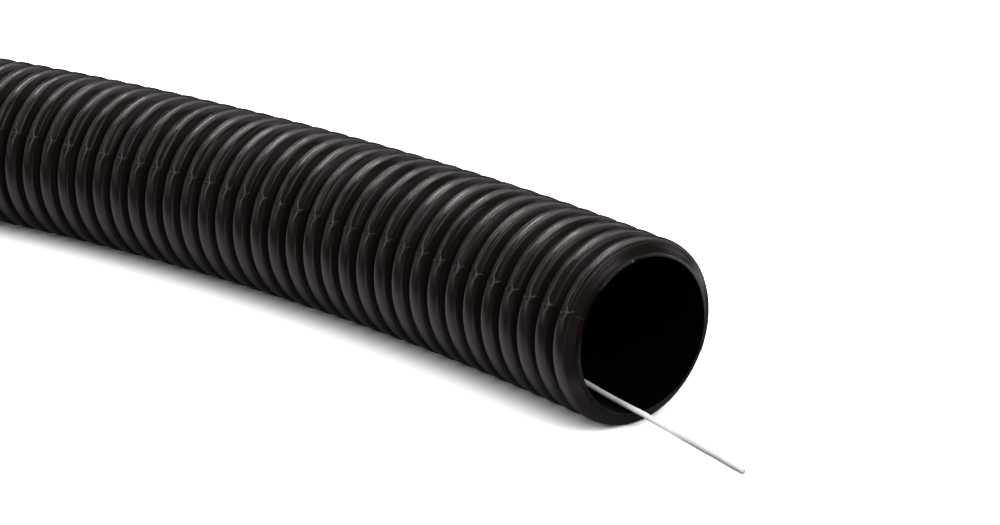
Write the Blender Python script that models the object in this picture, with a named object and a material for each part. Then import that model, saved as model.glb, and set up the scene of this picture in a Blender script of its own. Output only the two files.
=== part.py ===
"""Corrugated twin-wall cable duct with its draw cord.

One metre of flexible duct, cut square in a valley at both ends, lying on a level floor with
the bend that it keeps from its coil. A draw cord runs through the smooth bore and comes out
over the lip at both ends. Metres, +Z up, origin at the bottom centre of the duct's bounding box.
"""
import math

import bmesh
import bpy
import numpy as np
from mathutils import Vector

# Duct: sizes across the flats of the faceted rings
OUTER_DIAMETER = 0.110
RIB_HEIGHT = 0.0078
VALLEY_WALL = 0.0017
BORE_RADIUS = OUTER_DIAMETER / 2 - RIB_HEIGHT - VALLEY_WALL
LENGTH = 1.000
RIB_PITCH = 0.0161
CREST_WIDTH = 0.0086
SHOULDER_WIDTH = 0.0118
SHOULDER_DROP = 0.0019
END_COLLAR = 0.0025
BEND_RADIUS = 1.600

# Facets: sides of each ring, and ribs between two rings of the bore
SIDES = 18
RIBS_PER_BORE_RING = 4
SHARP_ANGLE = math.radians(50)

# Draw cord, lying in the bore and on the floor
CORD_DIAMETER = 0.0033
CORD_GAP = 0.0003
CORD_FLOOR_GAP = 0.0001
CORD_POINT_SPACING = 0.0175

# Route of the cord: distance from the duct's middle (from the mouth, in the two tails),
# sideways place towards the outer side of the bend, and rise from the floor level (0)
# to the level on the bottom of the bore (1)
FAR_TAIL = (
    (0.096, 0.0075, 0.0),
    (0.078, 0.0060, 0.0),
    (0.060, 0.0030, 0.0),
    (0.044, 0.0005, 0.0),
    (0.032, -0.0008, 0.03),
    (0.024, -0.0012, 0.13),
    (0.017, -0.0014, 0.32),
    (0.011, -0.0014, 0.57),
    (0.005, -0.0012, 0.86),
    (0.000, -0.0010, 1.0),
)
IN_BORE = (
    (-0.480, 0.0000, 1.0),
    (-0.410, 0.0035, 1.0),
    (-0.320, 0.0050, 1.0),
    (-0.230, 0.0010, 1.0),
    (-0.140, -0.0040, 1.0),
    (-0.050, -0.0030, 1.0),
    (0.040, 0.0015, 1.0),
    (0.130, 0.0045, 1.0),
    (0.220, 0.0015, 1.0),
    (0.300, -0.0030, 1.0),
    (0.375, -0.0010, 1.0),
    (0.425, 0.0012, 1.0),
    (0.450, 0.0002, 1.0),
    (0.465, -0.0019, 1.0),
    (0.480, -0.0036, 1.0),
)
NEAR_TAIL = (
    (0.000, -0.0051, 1.0),
    (0.005, -0.0032, 0.86),
    (0.010, -0.0008, 0.60),
    (0.015, 0.0018, 0.37),
    (0.020, 0.0038, 0.19),
    (0.026, 0.0051, 0.06),
    (0.034, 0.0051, 0.0),
    (0.047, 0.0037, 0.0),
    (0.060, 0.0026, 0.0),
    (0.072, 0.0010, 0.0),
    (0.083, 0.0001, 0.0),
)

# Materials: colour, roughness
DUCT_FINISH = ((0.012, 0.011, 0.010), 0.32)
CORD_FINISH = ((0.86, 0.86, 0.84), 0.55)


def clear_scene():
    """Remove whatever objects the opened file holds."""
    for item in list(bpy.data.objects):
        bpy.data.objects.remove(item, do_unlink=True)


def plastic(name, finish):
    """A plain Principled plastic of one colour."""
    color, roughness = finish
    material = bpy.data.materials.new(name)
    material.use_nodes = True
    shader = material.node_tree.nodes["Principled BSDF"]
    shader.inputs["Base Color"].default_value = (*color, 1.0)
    shader.inputs["Roughness"].default_value = roughness
    shader.inputs["Metallic"].default_value = 0.0
    return material


def wall_section():
    """Closed section of the wall as (radius, station): down over the ribs, back up the bore.

    Each rib is a rounded trapezoid of valley, shoulder, flat crest and shoulder. Past the
    valleys of the two end ribs, a plain collar of the thin wall runs on to the cut.
    """
    crest = OUTER_DIAMETER / 2
    valley = crest - RIB_HEIGHT
    ribbed = LENGTH - 2 * END_COLLAR
    ribs = round(ribbed / RIB_PITCH)
    pitch = ribbed / ribs
    outer = [(valley, LENGTH / 2), (valley, ribbed / 2)]
    for rib in range(ribs):
        middle = ribbed / 2 - (rib + 0.5) * pitch
        outer += [
            (crest - SHOULDER_DROP, middle + SHOULDER_WIDTH / 2),
            (crest, middle + CREST_WIDTH / 2),
            (crest, middle - CREST_WIDTH / 2),
            (crest - SHOULDER_DROP, middle - SHOULDER_WIDTH / 2),
            (valley, middle - pitch / 2),
        ]
    outer.append((valley, -LENGTH / 2))
    bore_rings = max(2, round(ribs / RIBS_PER_BORE_RING)) + 1
    bore = [(BORE_RADIUS, z) for z in np.linspace(-LENGTH / 2, LENGTH / 2, bore_rings)]
    return outer + bore


def make_duct():
    """Spin the section about Z, bend the straight length sideways, and lay it along X."""
    across_flats = 1 / math.cos(math.pi / SIDES)
    half_side = math.pi / SIDES
    shape = bmesh.new()
    ring = [
        shape.verts.new((
            radius * across_flats * math.cos(half_side),
            radius * across_flats * math.sin(half_side),
            station,
        ))
        for radius, station in wall_section()
    ]
    edges = [shape.edges.new(pair) for pair in zip(ring, ring[1:] + ring[:1])]
    bmesh.ops.spin(
        shape, geom=ring + edges, cent=(0, 0, 0), axis=(0, 0, 1),
        angle=2 * math.pi, steps=SIDES, use_merge=True,
    )
    bmesh.ops.recalc_face_normals(shape, faces=shape.faces)
    mesh = bpy.data.meshes.new("duct")
    shape.to_mesh(mesh)
    shape.free()
    mesh.shade_smooth()
    mesh.set_sharp_from_angle(angle=SHARP_ANGLE)
    mesh.materials.append(plastic("duct", DUCT_FINISH))
    duct = bpy.data.objects.new("duct", mesh)
    bpy.context.collection.objects.link(duct)
    bend = duct.modifiers.new("coil set", "SIMPLE_DEFORM")
    bend.deform_method = "BEND"
    bend.deform_axis = "X"
    bend.angle = -LENGTH / BEND_RADIUS
    duct.rotation_euler = (0, math.pi / 2, 0)
    return duct


def centre_on_origin(duct):
    """Move the bent duct so that its bounding box stands on the origin, and return the move."""
    bpy.context.view_layer.update()
    bent = duct.evaluated_get(bpy.context.evaluated_depsgraph_get())
    corners = np.array([duct.matrix_world @ Vector(corner) for corner in bent.bound_box])
    low, high = corners.min(axis=0), corners.max(axis=0)
    duct.location = (-(low[0] + high[0]) / 2, -(low[1] + high[1]) / 2, -low[2])
    return duct.location


def beside_duct(station, side, height, move):
    """World point at a station of the duct's bent centre line, or on its straight run-out.

    side points away from the centre of the bend, and height is above the floor.
    """
    inside = max(-LENGTH / 2, min(LENGTH / 2, station))
    turn = inside / BEND_RADIUS
    past = station - inside
    reach = BEND_RADIUS + side
    x = reach * math.sin(turn) + past * math.cos(turn)
    y = reach * math.cos(turn) - BEND_RADIUS - past * math.sin(turn)
    return Vector((x + move.x, y + move.y, height))


def cord_route(move):
    """The route's own points in the world, from the far end of the cord to the near one."""
    floor_level = CORD_DIAMETER / 2 + CORD_FLOOR_GAP
    bore_level = OUTER_DIAMETER / 2 - BORE_RADIUS + CORD_DIAMETER / 2 + CORD_GAP
    stations = [(-LENGTH / 2 - past, side, rise) for past, side, rise in FAR_TAIL]
    stations += [(station * LENGTH, side, rise) for station, side, rise in IN_BORE]
    stations += [(LENGTH / 2 + past, side, rise) for past, side, rise in NEAR_TAIL]
    return [
        beside_duct(station, side, floor_level + rise * (bore_level - floor_level), move)
        for station, side, rise in stations
    ]


def smooth_through(route, spacing):
    """Points of a smooth curve through the route, about one spacing apart.

    Cubic Hermite spans on the chord length, with each tangent the slope of the parabola
    through a point and its two neighbours.
    """
    points = np.array([tuple(point) for point in route])
    chords = np.linalg.norm(np.diff(points, axis=0), axis=1)
    slopes = np.diff(points, axis=0) / chords[:, None]
    before, after = chords[:-1, None], chords[1:, None]
    inner = (slopes[:-1] * after + slopes[1:] * before) / (before + after)
    tangents = np.vstack([2 * slopes[:1] - inner[:1], inner, 2 * slopes[-1:] - inner[-1:]])
    curve = []
    for span, chord in enumerate(chords):
        for t in np.arange(math.ceil(chord / spacing)) / math.ceil(chord / spacing):
            curve.append(
                (1 + 2 * t) * (1 - t) ** 2 * points[span]
                + t * (1 - t) ** 2 * chord * tangents[span]
                + t ** 2 * (3 - 2 * t) * points[span + 1]
                + t ** 2 * (t - 1) * chord * tangents[span + 1]
            )
    return np.array(curve + [points[-1]])


def make_cord(move):
    """The draw cord as one round tube along the smooth curve, cut square at both ends."""
    points = smooth_through(cord_route(move), CORD_POINT_SPACING)
    curve = bpy.data.curves.new("draw_cord", "CURVE")
    curve.dimensions = "3D"
    curve.bevel_depth = CORD_DIAMETER / 2
    curve.bevel_resolution = 2
    curve.use_fill_caps = True
    spline = curve.splines.new("POLY")
    spline.points.add(len(points) - 1)
    for knot, point in zip(spline.points, points):
        knot.co = (*point, 1.0)
    curve.materials.append(plastic("draw_cord", CORD_FINISH))
    cord = bpy.data.objects.new("draw_cord", curve)
    bpy.context.collection.objects.link(cord)
    return cord


def main():
    """Build the duct where it lies, then the cord through it."""
    clear_scene()
    duct = make_duct()
    move = centre_on_origin(duct)
    make_cord(move)


main()
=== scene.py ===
"""Looks of the corrugated cable duct and its draw cord.

The duct's wall is one closed surface: rounded ribs outside, a smooth bore inside and a cut lip
at each end, carried along the bent centre line. The cord is a three-strand tube along its route.
Metres, in the part's frame: +X from the far mouth to the near one, +Z up, floor at z = 0.
"""

import math

import bpy
import numpy as np
from mathutils import Euler, Matrix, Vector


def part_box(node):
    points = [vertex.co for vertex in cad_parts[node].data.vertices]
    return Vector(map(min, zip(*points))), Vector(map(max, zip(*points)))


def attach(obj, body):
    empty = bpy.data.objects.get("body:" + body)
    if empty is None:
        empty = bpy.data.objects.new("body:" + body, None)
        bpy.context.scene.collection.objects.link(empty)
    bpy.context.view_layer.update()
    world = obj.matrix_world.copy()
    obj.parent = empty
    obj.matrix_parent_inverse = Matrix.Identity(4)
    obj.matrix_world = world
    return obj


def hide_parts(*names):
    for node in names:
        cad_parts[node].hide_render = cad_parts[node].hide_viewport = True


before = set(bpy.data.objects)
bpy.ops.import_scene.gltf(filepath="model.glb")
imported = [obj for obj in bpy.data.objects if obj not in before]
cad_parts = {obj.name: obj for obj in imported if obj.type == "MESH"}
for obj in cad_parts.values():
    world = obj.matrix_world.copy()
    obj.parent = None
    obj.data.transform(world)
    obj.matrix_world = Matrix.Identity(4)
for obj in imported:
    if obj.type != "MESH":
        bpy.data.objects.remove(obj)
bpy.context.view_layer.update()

# Sizes of the duct and the cord, as in the part's source, but for the collar at each end, which
# follows the photograph: 1.9 mm past the last valley, against 2.5 mm in the source
OUTER_RADIUS = 0.055
RIB_HEIGHT = 0.0078
VALLEY_RADIUS = OUTER_RADIUS - RIB_HEIGHT
VALLEY_WALL = 0.0017
BORE_RADIUS = VALLEY_RADIUS - VALLEY_WALL
LENGTH = 1.000
END_COLLAR = 0.0019
RIBS = 62
RIBBED_LENGTH = LENGTH - 2 * END_COLLAR
PITCH = RIBBED_LENGTH / RIBS
BEND_RADIUS = 1.600
CAD_SIDES = 18
CORD_RADIUS = 0.00165
CORD_GAP = 0.0003
CORD_FLOOR_GAP = 0.0001

# The cord's route: distance from the duct's middle (from the mouth, in the two tails), sideways
# place towards the outer side of the bend, and rise from the floor level to the bore's bottom
FAR_TAIL = (
    (0.096, 0.0075, 0.0), (0.078, 0.0060, 0.0), (0.060, 0.0030, 0.0), (0.044, 0.0005, 0.0),
    (0.032, -0.0008, 0.03), (0.024, -0.0012, 0.13), (0.017, -0.0014, 0.32),
    (0.011, -0.0014, 0.57), (0.005, -0.0012, 0.86), (0.000, -0.0010, 1.0),
)
IN_BORE = (
    (-0.480, 0.0000, 1.0), (-0.410, 0.0035, 1.0), (-0.320, 0.0050, 1.0), (-0.230, 0.0010, 1.0),
    (-0.140, -0.0040, 1.0), (-0.050, -0.0030, 1.0), (0.040, 0.0015, 1.0), (0.130, 0.0045, 1.0),
    (0.220, 0.0015, 1.0), (0.300, -0.0030, 1.0), (0.375, -0.0010, 1.0), (0.425, 0.0012, 1.0),
    (0.450, 0.0002, 1.0), (0.465, -0.0019, 1.0), (0.480, -0.0036, 1.0),
)
NEAR_TAIL = (
    (0.000, -0.0051, 1.0), (0.005, -0.0032, 0.86), (0.010, -0.0008, 0.60), (0.015, 0.0018, 0.37),
    (0.020, 0.0038, 0.19), (0.026, 0.0051, 0.06), (0.034, 0.0051, 0.0), (0.047, 0.0037, 0.0),
    (0.060, 0.0026, 0.0), (0.072, 0.0010, 0.0), (0.083, 0.0001, 0.0),
)

# Fine form of a rib: half width and radius of its slightly crowned crest, radius of its corners,
# the places of the points on both arcs, slope of its flanks, and the height above its foot of the
# point that ends a straight flank
CROWN_HALF_WIDTH = 0.0031
CROWN_RADIUS = 0.0125
CROWN_STEPS = (0.5, 1.0)
CORNER_RADIUS = 0.0021
CORNER_STEPS = (0.3, 0.58, 0.82, 1.0)
FLANK_SLOPE = math.radians(69.0)
FOOT_SUPPORT = 0.0008

# The broken edges of each cut, the distance from them to the next ring, the rings of the bore,
# and the angle from which an edge is shaded sharp
BEVEL = 0.0003
EDGE_SUPPORT = 0.0004
BORE_RINGS = RIBS // 2
SHARP_ANGLE = math.radians(60.0)

# Places of the three finishes in the wall's list of materials
OUTSIDE = 0
ON_A_CUT = 1
INSIDE_BORE = 2

# Points round the wall: even steps, finer ones in degrees beside each of the two mould seams, and
# how far clear of the finer ones the even ones keep, as a share of their reach
EVEN_STEPS = 60
SEAM_STEPS = (-3.4, -2.2, -1.4, -0.9, -0.5, -0.25, 0.0, 0.25, 0.5, 0.9, 1.4, 2.2, 3.4)
SEAM_CLEARANCE = 1.2

# Mould seams: where the first one lies at the near mouth, its slow turn along the length, the
# ridge of squeezed plastic on it and the share of it left in the valleys, the nib where it crosses
# each crest with the ranges of its size and place, and how far the mould halves are out of line
SEAM_ANGLE = math.radians(24.2)
SEAM_TURN = math.radians(8.0)
RIDGE_HEIGHT = 0.00028
RIDGE_WIDTH = math.radians(0.60)
RIDGE_IN_VALLEY = 0.25
NIB_HEIGHT = 0.00050
NIB_WIDTH = math.radians(2.4)
NIB_LENGTH = 0.0017
NIB_SIZES = (0.7, 1.2)
NIB_PLACES = (-0.0024, -0.0014)
NIB_SEED = 4
HALVES_APART = 0.00020
STEP_WIDTH = math.radians(0.8)

# Fine form of the cord: lengths and sides of its mesh, the length of one full turn of its lay,
# and the depth of the grooves between its strands as a share of its radius
CORD_STEP = 0.0016
CORD_SIDES = 18
CORD_LAY = 0.016
CORD_STRANDS = 3
CORD_GROOVE = 0.10
GROOVE_SHARPNESS = 3

# The camera at the photograph's angle
CAMERA_PLACE = (1.2247, -1.2766, 0.6049)
CAMERA_HEADING = math.radians(123.861)
CAMERA_DIP = math.radians(19.462)
CAMERA_LENS = 99.56
CAMERA_SENSOR = 36.0


# Geometry

def middle_offset():
    """Sideways place of the centre line's middle: the box's outer side less the CAD ring's corner."""
    outer_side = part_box("duct")[1][1]
    return outer_side - OUTER_RADIUS / math.cos(math.pi / CAD_SIDES)


MIDDLE_Y = middle_offset()


def along_duct(station, side, height):
    """Points beside the bent centre line, for arrays of stations, sideways places and heights.

    Inside the duct a station turns through station / bend radius about the bend's centre; past a
    mouth the line runs straight on along the tangent there.
    """
    inside = np.clip(station, -LENGTH / 2, LENGTH / 2)
    turn = inside / BEND_RADIUS
    past = station - inside
    reach = BEND_RADIUS + side
    x = reach * np.sin(turn) + past * np.cos(turn)
    y = reach * np.cos(turn) - BEND_RADIUS - past * np.sin(turn) + MIDDLE_Y
    return np.stack([x, y, height * np.ones_like(x)], axis=-1)


def sheet_mesh(name, points, closed_rows, closed_columns, uv):
    """A quad mesh over a grid of points, closed round in either direction if asked.

    Quad (i, j) joins points (i, j), (i, j + 1), (i + 1, j + 1) and (i + 1, j).
    """
    rows, columns = points.shape[:2]
    index = np.arange(rows * columns).reshape(rows, columns)
    if closed_rows:
        index = np.vstack([index, index[:1]])
    if closed_columns:
        index = np.hstack([index, index[:, :1]])
    quads = np.stack([index[:-1, :-1], index[:-1, 1:], index[1:, 1:], index[1:, :-1]], axis=-1)
    quads = quads.reshape(-1, 4)
    mesh = bpy.data.meshes.new(name)
    mesh.vertices.add(rows * columns)
    mesh.vertices.foreach_set("co", points.reshape(-1).astype(np.float32))
    mesh.loops.add(quads.size)
    mesh.loops.foreach_set("vertex_index", quads.reshape(-1).astype(np.int32))
    mesh.polygons.add(len(quads))
    mesh.polygons.foreach_set("loop_start", np.arange(0, quads.size, 4, dtype=np.int32))
    mesh.update(calc_edges=True)
    layer = mesh.uv_layers.new(name="surface")
    corner = np.stack([uv[:-1, :-1], uv[:-1, 1:], uv[1:, 1:], uv[1:, :-1]], axis=2)
    layer.data.foreach_set("uv", corner.reshape(-1).astype(np.float32))
    mesh.validate()
    mesh.shade_smooth()
    return mesh


def add_piece(name, mesh, materials):
    """A new object at the origin, with its place in its mesh."""
    for material in materials:
        mesh.materials.append(material)
    piece = bpy.data.objects.new(name, mesh)
    bpy.context.collection.objects.link(piece)
    return piece


def rib_section():
    """Outline of one rib as (height above the valley, place along the pitch), near foot to far.

    Each half runs over an arc of the crown, then over an arc of the corner from the crown's last
    slope to the flank's, and straight down the flank. On an arc the place grows by radius times
    the sine of the slope, and the drop by radius times (1 - its cosine). One valley point lies
    half a pitch past the crest.
    """
    crown_slope = math.asin(CROWN_HALF_WIDTH / CROWN_RADIUS)
    slope = crown_slope * np.array(CROWN_STEPS)
    crown_place = CROWN_RADIUS * np.sin(slope)
    crown_drop = CROWN_RADIUS * (1 - np.cos(slope))
    slope = crown_slope + (FLANK_SLOPE - crown_slope) * np.array(CORNER_STEPS)
    corner_place = crown_place[-1] + CORNER_RADIUS * (np.sin(slope) - math.sin(crown_slope))
    corner_drop = crown_drop[-1] + CORNER_RADIUS * (math.cos(crown_slope) - np.cos(slope))
    foot_drop = np.array([RIB_HEIGHT - FOOT_SUPPORT, RIB_HEIGHT])
    foot_place = corner_place[-1] + (foot_drop - corner_drop[-1]) / math.tan(FLANK_SLOPE)
    place = np.concatenate([crown_place, corner_place, foot_place])
    height = RIB_HEIGHT - np.concatenate([crown_drop, corner_drop, foot_drop])
    place = np.concatenate([place[::-1], [0.0], -place, [-PITCH / 2]])
    return np.concatenate([height[::-1], [RIB_HEIGHT], height, [0.0]]), place


def wall_section():
    """The closed section of the wall, as radii, stations and the finish of the strip after each.

    It runs over the near collar, the ribs, the far collar, the far cut with its edges broken, the
    bore and the near cut.
    """
    height, place = rib_section()
    middles = RIBBED_LENGTH / 2 - (np.arange(RIBS) + 0.5) * PITCH
    rib_radius = np.tile(VALLEY_RADIUS + height, RIBS)
    rib_station = (middles[:, None] + place[None, :]).reshape(-1)
    end = LENGTH / 2
    collar_station = end - np.array([BEVEL, BEVEL + EDGE_SUPPORT, END_COLLAR + EDGE_SUPPORT])
    collar_radius = np.full(len(collar_station), VALLEY_RADIUS)
    cut_radius = np.array([
        VALLEY_RADIUS - BEVEL, VALLEY_RADIUS - BEVEL - EDGE_SUPPORT / 2,
        BORE_RADIUS + BEVEL + EDGE_SUPPORT / 2, BORE_RADIUS + BEVEL,
    ])
    cut_station = np.full(len(cut_radius), end)
    bore_end = end - BEVEL
    bore_rings = np.linspace(-bore_end + EDGE_SUPPORT, bore_end - EDGE_SUPPORT, BORE_RINGS)
    bore_station = np.concatenate([[-bore_end], bore_rings, [bore_end]])
    bore_radius = np.full(len(bore_station), BORE_RADIUS)
    radius = np.concatenate([
        collar_radius, rib_radius, collar_radius, cut_radius, bore_radius, cut_radius[::-1],
    ])
    station = np.concatenate([
        collar_station, rib_station, -collar_station[::-1], -cut_station, bore_station, cut_station,
    ])
    outer_strips = 2 * len(collar_radius) + len(rib_radius) - 1
    cut_strips = len(cut_radius) + 1
    finish = np.concatenate([
        np.full(outer_strips, OUTSIDE), np.full(cut_strips, ON_A_CUT),
        np.full(len(bore_station) - 1, INSIDE_BORE), np.full(cut_strips, ON_A_CUT),
    ])
    return radius, station, finish


def round_angles():
    """Angles round the wall from the first seam: even steps, with finer ones at both seams."""
    fine = np.radians(SEAM_STEPS)
    even = np.arange(EVEN_STEPS) * 2 * math.pi / EVEN_STEPS
    clear = np.abs(np.sin(even)) > math.sin(fine[-1]) * SEAM_CLEARANCE
    angles = np.concatenate([even[clear], fine % (2 * math.pi), fine + math.pi])
    return np.sort(angles)


def make_duct(materials):
    """The wall: its section carried round the ring and along the bend.

    Outside, each seam has a narrow ridge, its height times exp(-(sine of the angle from the seam
    / width) squared), and a nib on each crest, which falls off in the same way in both directions
    and differs a little from rib to rib. The ribs of the two mould halves sit a little apart
    along the duct, with a tanh step at each seam.
    """
    radius, station, finish = wall_section()
    round_angle = round_angles()
    columns = len(round_angle)
    station_grid, angle_grid = np.meshgrid(station, round_angle, indexing="ij")
    radius_grid = np.repeat(radius[:, None], columns, axis=1)
    outside = (radius_grid >= VALLEY_RADIUS).astype(float)
    climb = np.clip((radius_grid - VALLEY_RADIUS) / RIB_HEIGHT, 0, 1)
    from_seam = np.sin(angle_grid)
    ridge = RIDGE_HEIGHT * np.exp(-(from_seam / RIDGE_WIDTH) ** 2) * outside
    rib = (RIBBED_LENGTH / 2 - station_grid) / PITCH
    off_crest = (rib - np.floor(rib) - 0.5) * PITCH
    random = np.random.default_rng(NIB_SEED)
    number = np.clip(np.floor(rib), 0, RIBS - 1).astype(int)
    nib_size = random.uniform(*NIB_SIZES, RIBS)[number]
    nib_place = random.uniform(*NIB_PLACES, RIBS)[number]
    nib = NIB_HEIGHT * nib_size * np.exp(
        -(from_seam / NIB_WIDTH) ** 2 - ((off_crest - nib_place) / NIB_LENGTH) ** 2
    )
    halves = np.tanh(from_seam / STEP_WIDTH)
    angle = angle_grid + SEAM_ANGLE + SEAM_TURN * (LENGTH / 2 - station_grid) / LENGTH
    ridge_share = RIDGE_IN_VALLEY + (1 - RIDGE_IN_VALLEY) * climb
    radius_grid = radius_grid + ridge * ridge_share + nib * outside
    station_grid = station_grid + HALVES_APART * halves * climb
    points = along_duct(
        station_grid, -radius_grid * np.cos(angle), OUTER_RADIUS + radius_grid * np.sin(angle)
    )
    closed_station = np.append(station, station[0])
    closed_turn = np.append(round_angle, round_angle[0] + 2 * math.pi) / (2 * math.pi)
    uv = np.stack(np.meshgrid(closed_station, closed_turn, indexing="ij"), axis=-1)
    mesh = sheet_mesh("duct_wall", points, True, True, uv)
    mesh.polygons.foreach_set("material_index", np.repeat(finish, columns).astype(np.int32))
    mesh.set_sharp_from_angle(angle=SHARP_ANGLE)
    piece = add_piece("duct_wall", mesh, materials)
    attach(piece, "root")
    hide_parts("duct")


# The cord

def cord_route():
    """The route's own points in the world, from the far end of the cord to the near one."""
    floor_level = CORD_RADIUS + CORD_FLOOR_GAP
    bore_level = OUTER_RADIUS - BORE_RADIUS + CORD_RADIUS + CORD_GAP
    far, inside, near = (np.array(part) for part in (FAR_TAIL, IN_BORE, NEAR_TAIL))
    station = np.concatenate([-LENGTH / 2 - far[:, 0], inside[:, 0], LENGTH / 2 + near[:, 0]])
    side = np.concatenate([far[:, 1], inside[:, 1], near[:, 1]])
    rise = np.concatenate([far[:, 2], inside[:, 2], near[:, 2]])
    return along_duct(station, side, floor_level + rise * (bore_level - floor_level))


def smooth_through(points, spacing):
    """Points of a smooth curve through the route, about one spacing apart.

    Cubic Hermite spans on the chord length, with each tangent the slope of the parabola
    through a point and its two neighbours.
    """
    chords = np.linalg.norm(np.diff(points, axis=0), axis=1)
    slopes = np.diff(points, axis=0) / chords[:, None]
    before, after = chords[:-1, None], chords[1:, None]
    inner = (slopes[:-1] * after + slopes[1:] * before) / (before + after)
    tangents = np.vstack([2 * slopes[:1] - inner[:1], inner, 2 * slopes[-1:] - inner[-1:]])
    ends = np.concatenate([[0], np.cumsum(chords)])
    distance = np.linspace(0, ends[-1], round(ends[-1] / spacing) + 1)
    span = np.clip(np.searchsorted(ends, distance, side="right") - 1, 0, len(chords) - 1)
    chord = chords[span][:, None]
    t = ((distance - ends[span]) / chords[span])[:, None]
    return (
        (1 + 2 * t) * (1 - t) ** 2 * points[span]
        + t * (1 - t) ** 2 * chord * tangents[span]
        + t ** 2 * (3 - 2 * t) * points[span + 1]
        + t ** 2 * (t - 1) * chord * tangents[span + 1]
    )


def make_cord(material):
    """The draw cord: three strands laid in a helix, closed by a flat cap at each end.

    The radius at angle a and distance d is the cord's radius times 1 - groove * (1 - s) cubed,
    where s is |cos(strands / 2 * (a - turn of the lay at d))|.
    """
    path = smooth_through(cord_route(), CORD_STEP)
    forward = np.gradient(path, axis=0)
    forward /= np.linalg.norm(forward, axis=1)[:, None]
    side = np.cross([0.0, 0.0, 1.0], forward)
    side /= np.linalg.norm(side, axis=1)[:, None]
    up = np.cross(forward, side)
    steps = np.linalg.norm(np.diff(path, axis=0), axis=1)
    distance = np.concatenate([[0], np.cumsum(steps)])
    angle = np.linspace(0, 2 * math.pi, CORD_SIDES + 1)[:-1]
    lay_angle = angle[None] - 2 * math.pi * distance[:, None] / CORD_LAY
    strand = np.abs(np.cos(CORD_STRANDS / 2 * lay_angle))
    radius = CORD_RADIUS * (1 - CORD_GROOVE * (1 - strand) ** GROOVE_SHARPNESS)
    shell = (
        path[:, None]
        + (radius * np.cos(angle))[..., None] * side[:, None]
        + (radius * np.sin(angle))[..., None] * up[:, None]
    )
    first = np.repeat(path[:1, None], CORD_SIDES, axis=1)
    last = np.repeat(path[-1:, None], CORD_SIDES, axis=1)
    points = np.concatenate([first, shell, last])
    around = np.linspace(0, 1, CORD_SIDES + 1)
    along = np.concatenate([[0], distance, distance[-1:]])
    uv = np.stack(np.meshgrid(along, around, indexing="ij"), axis=-1)
    mesh = sheet_mesh("cord_strands", points, False, True, uv)
    piece = add_piece("cord_strands", mesh, [material])
    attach(piece, "root")
    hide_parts("draw_cord")


# Materials

PLASTIC_BLACK = (0.0088, 0.0054, 0.0047, 1.0)
# Pale colour of rub wear, and of the painted highlight streaks and seam glints
PLASTIC_WEAR_AND_GLINT = (0.13, 0.122, 0.118, 1.0)
PLASTIC_GLOSS_TINT = (1.0, 0.91, 0.90, 1.0)
CUT_BLACK = (0.0008, 0.0006, 0.0005, 1.0)
CUT_GREY = (0.145, 0.137, 0.132, 1.0)
BORE_BLACK = (0.0012, 0.0010, 0.0009, 1.0)
DULL_SPECULAR = 0.05
CORD_SHADE = (0.90, 0.90, 0.89, 1.0)
CORD_WHITE = (0.98, 0.98, 0.97, 1.0)

# Heights in metres that the plastic's, the saw's and the fibres' relief stand for
PLASTIC_RELIEF = 0.00016
SAW_RELIEF = 0.0002
FIBRE_RELIEF = 0.0001

# Marks: strength of the scratches on the half below the first seam, the seam's own half width in
# which its two sides blend, and the place of the painted highlight star from the crest towards
# the near mouth
LOWER_HALF_MARKS = 0.35
SEAM_BLEND = 0.0005
STAR_OFF_CREST = 0.0026

# Marks on the near cut, in turns round it from the first seam: where the frayed stretch begins
# and ends, and the middles of the fleck and the dent
FRAYED_STRETCH = (0.055, 0.075, 0.148, 0.158)
FLECK_TURN = 0.152
DENT_TURN = 0.346


class Value:
    """A shader socket that adds Math nodes as Python works out an expression on it."""

    def __init__(self, tree, socket):
        self.tree = tree
        self.socket = socket

    def math(self, operation, *others):
        """One Math node of that operation on this value and the others."""
        return node(self.tree, "ShaderNodeMath", {"operation": operation}, {
            index: value for index, value in enumerate((self, *others))
        })

    def __add__(self, other):
        return self.math("ADD", other)

    __radd__ = __add__

    def __mul__(self, other):
        return self.math("MULTIPLY", other)

    __rmul__ = __mul__

    def __sub__(self, other):
        return self.math("SUBTRACT", other)

    def __rsub__(self, other):
        return (self * -1.0).math("ADD", other)

    def larger(self, other):
        """The larger of this value and another."""
        return self.math("MAXIMUM", other)

    def ramp(self, low, high, to_low=0.0, to_high=1.0):
        """The value mapped smoothly from one range to another, and held at its ends."""
        return node(
            self.tree, "ShaderNodeMapRange", {"interpolation_type": "SMOOTHSTEP"},
            {"Value": self, "From Min": low, "From Max": high, "To Min": to_low, "To Max": to_high},
        )

    def band(self, rise_start, rise_end, fall_start, fall_end):
        """1 between two places, falling smoothly to 0 on either side."""
        return self.ramp(rise_start, rise_end) * self.ramp(fall_start, fall_end, 1.0, 0.0)

    def near_zero(self, full, none, peak=1.0):
        """The peak where the value is nearer to zero than the first distance, 0 past the second."""
        return self.math("ABSOLUTE").ramp(full, none, peak, 0.0)


def node(tree, kind, settings, inputs, output=0):
    """Add a node, make its settings first, then link or set its sockets, and wrap one output."""
    made = tree.nodes.new(kind)
    for name, setting in settings.items():
        setattr(made, name, setting)
    for name, value in inputs.items():
        if isinstance(value, Value):
            tree.links.new(value.socket, made.inputs[name])
        else:
            made.inputs[name].default_value = value
    return Value(tree, made.outputs[output])


def new_material(name):
    """A new material, as (material, tree, Principled shader node)."""
    material = bpy.data.materials.new(name)
    material.use_nodes = True
    tree = material.node_tree
    return material, tree, tree.nodes["Principled BSDF"]


def connect(tree, value, socket):
    """Link a value to a shader's socket."""
    tree.links.new(value.socket, socket)


def object_place(tree):
    """Place in the object's own coordinates."""
    return node(tree, "ShaderNodeTexCoord", {}, {}, "Object")


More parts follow.
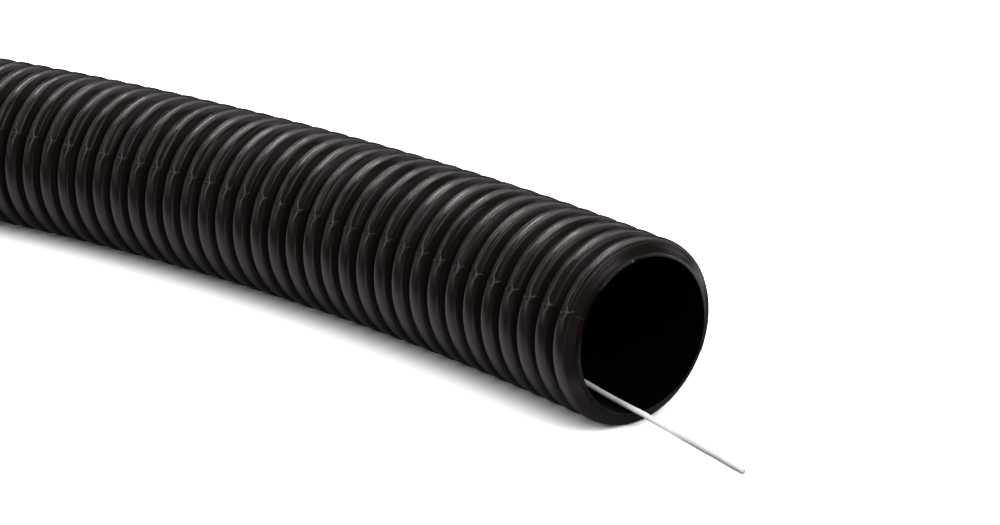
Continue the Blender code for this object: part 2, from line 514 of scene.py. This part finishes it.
def surface_place(tree):
    """The piece's own map: distance along it, and turn round it, from the first seam on the duct."""
    surface = node(tree, "ShaderNodeUVMap", {"uv_map": "surface"}, {})
    along = node(tree, "ShaderNodeSeparateXYZ", {}, {0: surface}, "X")
    turn = node(tree, "ShaderNodeSeparateXYZ", {}, {0: surface}, "Y")
    return along, turn


def vector(tree, x, y, z):
    """Three values joined into one vector."""
    return node(tree, "ShaderNodeCombineXYZ", {}, {"X": x, "Y": y, "Z": z})


def noise(tree, place, scale=1.0, detail=2.0):
    """Noise between about 0.2 and 0.8 at a place."""
    settings = {"Vector": place, "Scale": scale, "Detail": detail}
    return node(tree, "ShaderNodeTexNoise", {}, settings, "Fac")


def distance_between(tree, first, second):
    """Distance between two places."""
    return node(tree, "ShaderNodeVectorMath", {"operation": "DISTANCE"}, {0: first, 1: second}, "Value")


def color_between(tree, factor, first, second, socket):
    """Colour a socket: the first colour where the factor is 0, the second where it is 1."""
    mixed = node(
        tree, "ShaderNodeMix", {"data_type": "RGBA"}, {"Factor": factor, 6: first, 7: second}, 2,
    )
    connect(tree, mixed, socket)


def emboss(tree, shader, height, strength, depth):
    """Bend the shader's normal by a relief whose height of 1 stands for the depth."""
    settings = {"Height": height, "Strength": strength, "Distance": depth}
    connect(tree, node(tree, "ShaderNodeBump", {}, settings, "Normal"), shader.inputs["Normal"])


def seam_star_glint(tree, off_crest, off_seam, turn, rib):
    """The pale star where a seam crosses a rib, between 0 and 1: a painted highlight, the glint of the
    seam's nib, with a painted streak above it.

    One arm runs up the rib and one down it, both bending off towards the far mouth, the upper one
    more. A soft streak goes on above the upper arm, and a short slanted dash leaves towards the
    near mouth, fainter on ribs further in. Noise makes them wander.
    """
    wander = (noise(tree, vector(tree, turn * 60.0, rib * 5.1, 0.0)) - 0.5) * 0.0022
    off_star = off_crest + STAR_OFF_CREST
    from_seam = off_seam.math("ABSOLUTE")
    bend = off_seam.ramp(-SEAM_BLEND, SEAM_BLEND, 0.0013, 0.0026)
    off_arm = from_seam.ramp(0.0, 0.0050, 0.0, bend) - off_star + wander
    reach = from_seam * off_seam.ramp(-SEAM_BLEND, SEAM_BLEND, 0.7, 0.5)
    arms = off_arm.near_zero(0.0001, 0.0010) * reach.ramp(0.001, 0.0085, 1.0, 0.0)
    above = off_seam.ramp(0.002, 0.005) * off_seam.ramp(0.010, 0.028, 0.5, 0.0)
    streak = off_arm.near_zero(0.0002, 0.0013) * above
    off_dash = off_seam + off_star * 0.9 + wander
    dash = off_dash.near_zero(0.0002, 0.0009) * off_star.band(-0.0028, -0.0012, -0.0006, 0.0006)
    return arms.larger(dash * rib.ramp(3.0, 9.0, 0.75, 0.35)).larger(streak)


def mouth_marks(off_crest, off_seam, turn, rib, marks):
    """Marks at the near mouth, between 0 and 1.

    The seam shows as a line on the collar and the foot of the first rib, and the collar is frayed
    along one stretch of the cut.
    """
    collar = rib.ramp(-0.6, -0.4, 1.0, 0.0)
    foot = off_crest.ramp(-0.0065, -0.0050, 1.0, 0.0) * rib.ramp(0.4, 0.6, 1.0, 0.0)
    line = off_seam.near_zero(0.0001, 0.0006) * foot.larger(collar)
    frayed = collar * turn.band(*FRAYED_STRETCH) * marks.ramp(0.40, 0.60)
    return line.larger(frayed)


def black_polyethylene():
    """Satin black plastic, warm near-black, with the marks of its mould and of handling.

    Fine lines and pale streaks run round each rib, and change slowly from rib to rib,
    because every rib is blown into the same ring of the mould. The pale streaks are partly rub
    wear and partly painted highlight streaks on the crests. They are strong on the half above the
    first seam and faint below it. Where each seam crosses a rib, a pale star is painted as a
    highlight: the glint of the seam's nib.
    """
    material, tree, shader = new_material("black_polyethylene")
    place = object_place(tree)
    station, turn = surface_place(tree)
    ribs_in = (RIBBED_LENGTH / 2 - station) * (1 / PITCH)
    rib = ribs_in.math("FLOOR")
    across = (ribs_in - rib) * PITCH
    off_crest = across - PITCH / 2
    off_seam = (turn - (turn * 2.0).math("ROUND") * 0.5) * (2 * math.pi * OUTER_RADIUS)
    lines = noise(tree, vector(tree, across * 1100.0, turn * 5.0, rib * 0.12), detail=1.0)
    streaks = noise(tree, vector(tree, across * 1000.0, turn * 4.0, rib * 0.6), detail=1.0)
    marks = noise(tree, vector(tree, across * 2600.0, turn * 30.0, rib * 3.7))
    mottle = noise(tree, place, 420.0, 3.0)
    cloud = noise(tree, place, 70.0, 3.0)
    upper = turn.ramp(0.497, 0.503, 1.0, LOWER_HALF_MARKS)
    # Pale streaks on the crests: partly rub wear, partly painted highlight streaks
    on_crest = off_crest.band(-0.0065, -0.0045, 0.003, 0.005)
    clear_of_seam = off_seam.math("ABSOLUTE").ramp(0.0005, 0.006, 0.3, 1.0)
    wear_and_sheen = streaks.ramp(0.44, 0.70) * on_crest * upper * clear_of_seam
    # The seam's star: a painted highlight, the glint of its nib, with the mouth's marks joined to it
    star = seam_star_glint(tree, off_crest, off_seam, turn, rib) * marks.ramp(0.32, 0.60, 0.2, 1.0)
    star = star.larger(mouth_marks(off_crest, off_seam, turn, rib, marks) * 0.2)
    relief = (lines * 1.2 + wear_and_sheen * 0.5 + marks * 0.3) * upper + mottle * 0.25 + star * 1.2
    emboss(tree, shader, relief, 1.0, PLASTIC_RELIEF)
    roughness = 0.11 + cloud * 0.08 + marks * 0.08 + wear_and_sheen * 0.12
    connect(tree, roughness, shader.inputs["Roughness"])
    pale = (wear_and_sheen * 0.15).larger(star * 0.8)
    color_between(tree, pale, PLASTIC_BLACK, PLASTIC_WEAR_AND_GLINT, shader.inputs["Base Color"])
    shader.inputs["Specular Tint"].default_value = PLASTIC_GLOSS_TINT
    return material


def cut_polyethylene():
    """The sawn edge: the same plastic, dull, grey in random patches, with painted light and shade: grey
    where the lip catches light, near black where it lies in shade.

    Both cuts carry this painted light and shade on the same side. The near one also has the
    frayed stretch, a bright fleck at its end and a small grey dent.
    """
    material, tree, shader = new_material("cut_polyethylene")
    place = object_place(tree)
    station, turn = surface_place(tree)
    saw = noise(tree, place, 1500.0, 3.0)
    patch = noise(tree, place, 55.0).ramp(0.35, 0.65, 0.35, 1.0)
    # Painted light and shade: grey on the stretch of the cut that catches light, near black on the
    # stretch in shade just above the near side
    painted_light_side = turn.ramp(0.10, 0.30) * turn.ramp(0.36, 0.52, 1.0, 0.2)
    painted_light_side = painted_light_side * turn.ramp(0.93, 0.985, 1.0, 0.0)
    frayed = turn.band(*FRAYED_STRETCH) * saw.ramp(0.40, 0.56) * 0.25
    fleck = (turn - FLECK_TURN).near_zero(0.0008, 0.0028)
    dent = (turn - DENT_TURN).near_zero(0.004, 0.014, 0.7) * saw.ramp(0.4, 0.6, 0.4, 1.0)
    near_end = station.ramp(-0.1, 0.1)
    grey = saw.ramp(0.3, 0.7, 0.3, 1.0) * patch * painted_light_side
    grey = grey.larger(frayed.larger(fleck).larger(dent) * near_end)
    color_between(tree, grey, CUT_BLACK, CUT_GREY, shader.inputs["Base Color"])
    emboss(tree, shader, saw, 0.6, SAW_RELIEF)
    shader.inputs["Roughness"].default_value = 0.42
    shader.inputs["Specular IOR Level"].default_value = DULL_SPECULAR
    return material


def bore_polyethylene():
    """The smooth liner inside, deep black and dull, with faint lines along the pull."""
    material, tree, shader = new_material("bore_polyethylene")
    station, turn = surface_place(tree)
    draw = noise(tree, vector(tree, station * 25.0, turn * 260.0, 0.0))
    connect(tree, 0.50 + draw * 0.20, shader.inputs["Roughness"])
    shader.inputs["Base Color"].default_value = BORE_BLACK
    shader.inputs["Specular IOR Level"].default_value = DULL_SPECULAR
    return material


def white_cord():
    """Matt white polypropylene: fine fibres that follow the lay, a little greyer between them."""
    material, tree, shader = new_material("white_cord")
    along, around = surface_place(tree)
    lay = along * (1 / CORD_LAY) - around
    fibre = noise(tree, vector(tree, lay * 60.0, along * 400.0, 0.0))
    color_between(tree, fibre.ramp(0.30, 0.70), CORD_SHADE, CORD_WHITE, shader.inputs["Base Color"])
    emboss(tree, shader, fibre, 0.5, FIBRE_RELIEF)
    shader.inputs["Roughness"].default_value = 0.6
    return material


# Studio

# The floor: half its width, its grey close to the duct and far off, the distances between which
# that changes, and the brightness that the camera sees
FLOOR_HALF = 6.0
FLOOR_NEAR_GREY = 0.66
FLOOR_FAR_GREY = 0.08
FLOOR_NEAR = 0.045
FLOOR_FAR = 0.25
FLOOR_SEEN = 2.15

# How far inside a mouth the floor starts to count as past it, and how much faster the grey
# changes there
MOUTH_MARGIN = 0.010
MOUTH_FALL = 5.0

# Painted shadow on the floor under the duct: the distances beside its centre line over which
# that fades and the shares of the grey left, and the distances past a mouth, counted as above,
# over which it ends
UNDER_DUCT = (0.038, 0.066, 0.3, 1.0)
CLEAR_OF_MOUTH = (0.0, 0.15)

# The pale patch beyond the near mouth: its middle, the distances over which it fades, and its
# grey at both of them
PATCH_PLACE = (0.86, 0.43, 0.0)
PATCH_FADE = (0.15, 0.38, 0.9, 0.0)

# The world's even light, and how much of it shows in reflections
WORLD_LIGHT = 0.27
WORLD_MIRRORED = 0.05

# Lamps: name, direction in degrees from +X and up, width and height, radiance, whether it shows
# in gloss, and tilt in degrees. All face one place in the duct's near half from one distance
LAMP_TARGET = (0.30, 0.0, 0.06)
LAMP_DISTANCE = 4.0
LAMPS = (
    ("key", (151.0, 49.5), (2.1, 0.65), 7.5, True, 18.0),
    ("key_end", (176.0, 44.0), (1.0, 0.65), 3.2, True, -38.0),
    ("key_tail", (190.0, 33.0), (1.3, 0.6), 1.2, True, -55.0),
    ("top", (100.0, 62.0), (5.0, 5.0), 1.2, True, 0.0),
    ("side", (196.0, 16.0), (1.5, 2.3), 0.30, True, 0.0),
    ("low_side", (225.0, 6.0), (3.5, 1.0), 0.30, True, 0.0),
    ("back_right", (56.0, 18.0), (3.0, 2.6), 0.75, True, 0.0),
    ("front", (355.0, 20.0), (1.6, 1.2), 1.6, True, 0.0),
    ("front_top", (345.0, 47.0), (1.4, 2.6), 0.8, True, 0.0),
    ("near_fill", (270.0, 53.0), (3.2, 3.2), 1.6, False, 0.0),
    ("front_fill", (330.0, 40.0), (3.0, 3.0), 2.8, False, 0.0),
)


def make_floor():
    """A wide pale floor that the camera sees a little overexposed, so that it is plain white.

    To all other rays it is pale close to the duct and dark further off, darker under the duct in
    a painted shadow, and pale again in a patch beyond the near mouth. The distance from the duct
    joins that from its bent centre line and that past a mouth.
    """
    material, tree, shader = new_material("studio_floor")
    tree.nodes.remove(shader)
    place = object_place(tree)
    bend_centre = (0.0, MIDDLE_Y - BEND_RADIUS, 0.0)
    beside = distance_between(tree, place, bend_centre) - BEND_RADIUS
    along = node(tree, "ShaderNodeSeparateXYZ", {}, {0: place}, "X").math("ABSOLUTE")
    past = (along - LENGTH / 2 + MOUTH_MARGIN).larger(0.0) * MOUTH_FALL
    away = (beside * beside + past * past).math("SQRT")
    # Painted shadow under the duct, seen only in reflections, ending past each mouth
    shade = beside.math("ABSOLUTE").ramp(*UNDER_DUCT).larger(past.ramp(*CLEAR_OF_MOUTH))
    grey = away.ramp(FLOOR_NEAR, FLOOR_FAR, FLOOR_NEAR_GREY, FLOOR_FAR_GREY) * shade
    grey = grey.larger(distance_between(tree, place, PATCH_PLACE).ramp(*PATCH_FADE))
    paint = node(tree, "ShaderNodeBsdfDiffuse", {}, {"Color": vector(tree, grey, grey, grey)}, "BSDF")
    seen_color = (FLOOR_SEEN, FLOOR_SEEN, FLOOR_SEEN, 1.0)
    bright = node(tree, "ShaderNodeBsdfDiffuse", {}, {"Color": seen_color}, "BSDF")
    seen = node(tree, "ShaderNodeLightPath", {}, {}, "Is Camera Ray")
    surface = node(tree, "ShaderNodeMixShader", {}, {"Fac": seen, 1: paint, 2: bright}, "Shader")
    connect(tree, surface, tree.nodes["Material Output"].inputs["Surface"])
    half = FLOOR_HALF
    corners = np.array([
        [(-half, -half, 0.0), (half, -half, 0.0)],
        [(-half, half, 0.0), (half, half, 0.0)],
    ])
    mesh = sheet_mesh("studio_floor", corners, False, False, np.zeros((2, 2, 2)))
    floor = add_piece("studio_floor", mesh, [material])


def area_light(name, direction, size, radiance, mirrored, tilt):
    """A rectangular soft light in a direction from the target, facing it.

    Its power is the radiance times pi times its area. One that isn't mirrored lights the plastic
    but doesn't show in its gloss. A tilt lifts its end of higher azimuth.
    """
    light = bpy.data.lights.new(name, "AREA")
    light.shape = "RECTANGLE"
    light.size, light.size_y = size
    light.energy = radiance * math.pi * size[0] * size[1]
    lamp = bpy.data.objects.new(name, light)
    bpy.context.collection.objects.link(lamp)
    turn, rise = (math.radians(angle) for angle in direction)
    away = np.array([
        math.cos(turn) * math.cos(rise), math.sin(turn) * math.cos(rise), math.sin(rise),
    ])
    lamp.location = np.array(LAMP_TARGET) + LAMP_DISTANCE * away
    facing = Euler((math.pi / 2 - rise, 0.0, turn + math.pi / 2)).to_matrix()
    lamp.rotation_euler = (facing @ Matrix.Rotation(math.radians(tilt), 3, "Z")).to_euler()
    lamp.visible_glossy = mirrored


def make_world():
    """Even soft light, dimmer in reflections, with a white backdrop for the camera."""
    world = bpy.data.worlds.new("studio")
    world.use_nodes = True
    bpy.context.scene.world = world
    tree = world.node_tree
    background = tree.nodes["Background"]
    seen = node(tree, "ShaderNodeLightPath", {}, {}, "Is Camera Ray")
    glossy = node(tree, "ShaderNodeLightPath", {}, {}, "Is Glossy Ray")
    dimmed = glossy * (WORLD_LIGHT - WORLD_MIRRORED)
    strength = WORLD_LIGHT + seen * (1.0 - WORLD_LIGHT) - dimmed
    connect(tree, strength, background.inputs["Strength"])
    background.inputs["Color"].default_value = (1.0, 1.0, 1.0, 1.0)


def make_camera():
    """The camera at the photograph's viewing angle."""
    lens = bpy.data.cameras.new("camera")
    lens.lens = CAMERA_LENS
    lens.sensor_width = CAMERA_SENSOR
    camera = bpy.data.objects.new("camera", lens)
    bpy.context.collection.objects.link(camera)
    camera.location = CAMERA_PLACE
    camera.rotation_euler = (math.pi / 2 - CAMERA_DIP, 0.0, CAMERA_HEADING - math.pi / 2)
    bpy.context.scene.camera = camera


make_camera()
make_cord(white_cord())
make_duct([black_polyethylene(), cut_polyethylene(), bore_polyethylene()])
make_floor()
make_world()
for lamp_row in LAMPS:
    area_light(*lamp_row)
bpy.context.scene.view_settings.view_transform = "Standard"
